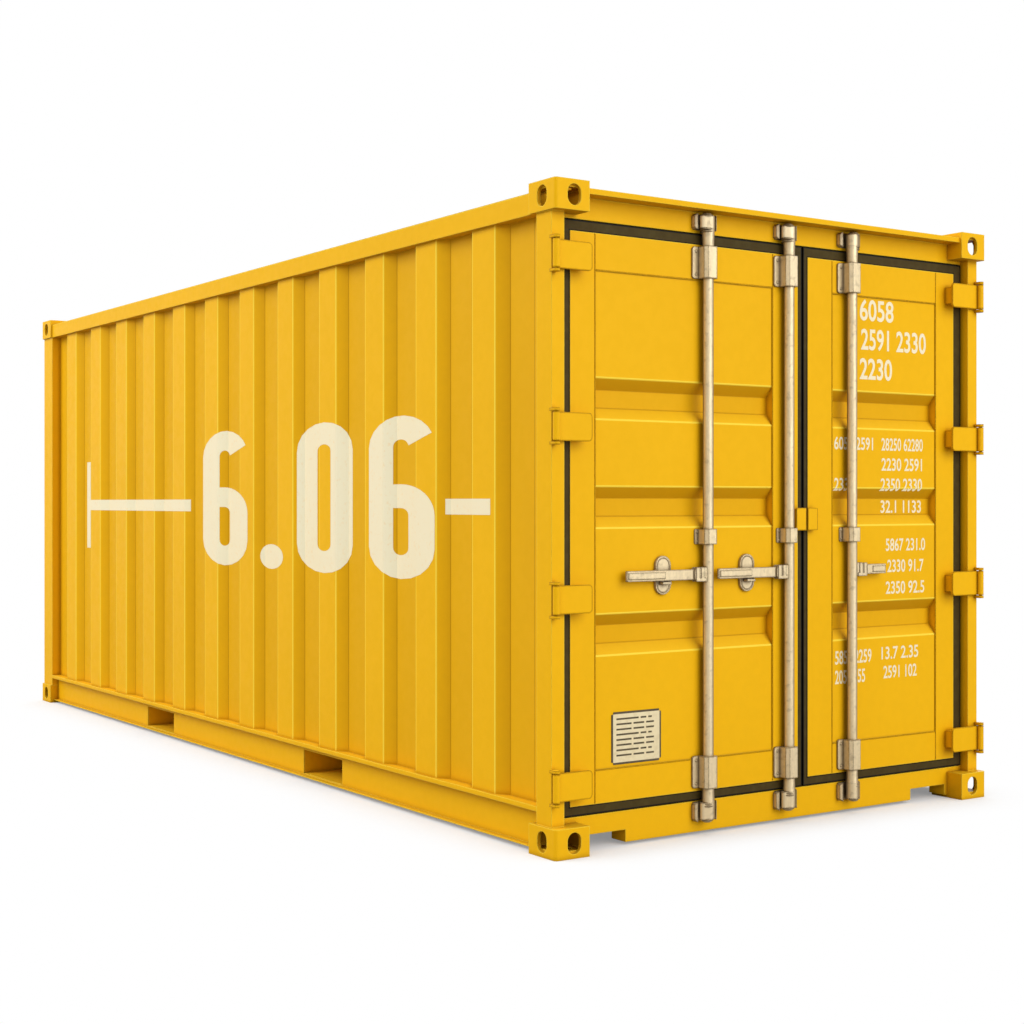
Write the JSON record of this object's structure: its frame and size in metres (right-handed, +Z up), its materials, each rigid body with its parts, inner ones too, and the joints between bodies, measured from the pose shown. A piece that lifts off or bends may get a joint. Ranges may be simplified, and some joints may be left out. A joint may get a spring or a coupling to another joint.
{
  "type": "shipping container",
  "caption": "Yellow steel cargo container with corrugated sides, hollow corner castings, fork pockets and twin rear doors with turning lock rods and lifting handles.",
  "frame": {"origin": "centre of the footprint, on the ground under the corner castings", "axes": "+X along the length towards the door end, +Y across the width towards the right door, +Z up"},
  "size_m": [6.058, 2.438, 2.591],
  "materials": {
    "yellow_paint": "satin yellow paint",
    "underside_steel": "dark underbody coating",
    "floor_plywood": "oiled marine plywood",
    "door_seal": "matte olive brown rubber",
    "zinc_lock_gear": "galvanised, warm silver"
  },
  "bodies": {
    "container": {"bottom_corner_castings": "yellow_paint", "top_corner_castings": "yellow_paint", "door_corner_posts": "yellow_paint", "front_corner_posts": "yellow_paint", "top_side_rails": "yellow_paint", "bottom_side_rails": "yellow_paint", "door_header": "yellow_paint", "door_sill": "yellow_paint", "front_header": "yellow_paint", "front_sill": "yellow_paint", "left_side_wall": "yellow_paint", "right_side_wall": "yellow_paint", "front_wall": "yellow_paint", "roof_panel": "yellow_paint", "plywood_floor": "floor_plywood", "cross_members": "underside_steel", "fork_pockets": "yellow_paint", "left_hinge_lugs": "yellow_paint", "right_hinge_lugs": "yellow_paint", "header_keepers": "zinc_lock_gear", "sill_keepers": "zinc_lock_gear"},
    "left_door": {"left_door_frame": "yellow_paint", "left_door_panel": "yellow_paint", "left_door_gasket": "door_seal", "left_door_hinges": "yellow_paint", "left_rod_bearings": "zinc_lock_gear", "left_rod_guides": "zinc_lock_gear", "left_seam_plate": "yellow_paint", "handle_catches": "zinc_lock_gear"},
    "right_door": {"right_door_frame": "yellow_paint", "right_door_panel": "yellow_paint", "right_door_gasket": "door_seal", "right_door_hinges": "yellow_paint", "right_rod_bearings": "zinc_lock_gear", "right_rod_guides": "zinc_lock_gear", "right_seam_plate": "yellow_paint"},
    "outer_lock_rod": {"outer_lock_rod": "zinc_lock_gear"},
    "outer_handle": {"outer_handle": "zinc_lock_gear"},
    "middle_lock_rod": {"middle_lock_rod": "zinc_lock_gear"},
    "middle_handle": {"middle_handle": "zinc_lock_gear"},
    "right_lock_rod": {"right_lock_rod": "zinc_lock_gear"},
    "right_handle": {"right_handle": "zinc_lock_gear"}
  },
  "joints": [
    {"name": "left_door_hinge", "type": "hinge", "parent": "container", "child": "left_door", "pos_m": [3.013, -1.203, 1.288], "axis": [0, 0, -1], "range_deg": [0, 270]},
    {"name": "right_door_hinge", "type": "hinge", "parent": "container", "child": "right_door", "pos_m": [3.013, 1.203, 1.288], "axis": [0, 0, 1], "range_deg": [0, 270]},
    {"name": "outer_rod_turn", "type": "hinge", "parent": "left_door", "child": "outer_lock_rod", "pos_m": [2.977, -0.416, 1.295], "axis": [0, 0, -1], "range_deg": [-110, 0]},
    {"name": "outer_handle_lift", "type": "hinge", "parent": "outer_lock_rod", "child": "outer_handle", "pos_m": [2.977, -0.47, 1.0656], "axis": [-1, 0, 0], "range_deg": [0, 30]},
    {"name": "middle_rod_turn", "type": "hinge", "parent": "left_door", "child": "middle_lock_rod", "pos_m": [2.977, 0.034, 1.295], "axis": [0, 0, -1], "range_deg": [-110, 0]},
    {"name": "middle_handle_lift", "type": "hinge", "parent": "middle_lock_rod", "child": "middle_handle", "pos_m": [2.977, -0.02, 1.0656], "axis": [-1, 0, 0], "range_deg": [0, 30]},
    {"name": "right_rod_turn", "type": "hinge", "parent": "right_door", "child": "right_lock_rod", "pos_m": [2.977, 0.408, 1.295], "axis": [0, 0, 1], "range_deg": [-110, 0]},
    {"name": "right_handle_lift", "type": "hinge", "parent": "right_lock_rod", "child": "right_handle", "pos_m": [2.977, 0.462, 1.0656], "axis": [1, 0, 0], "range_deg": [0, 30]}
  ]
}
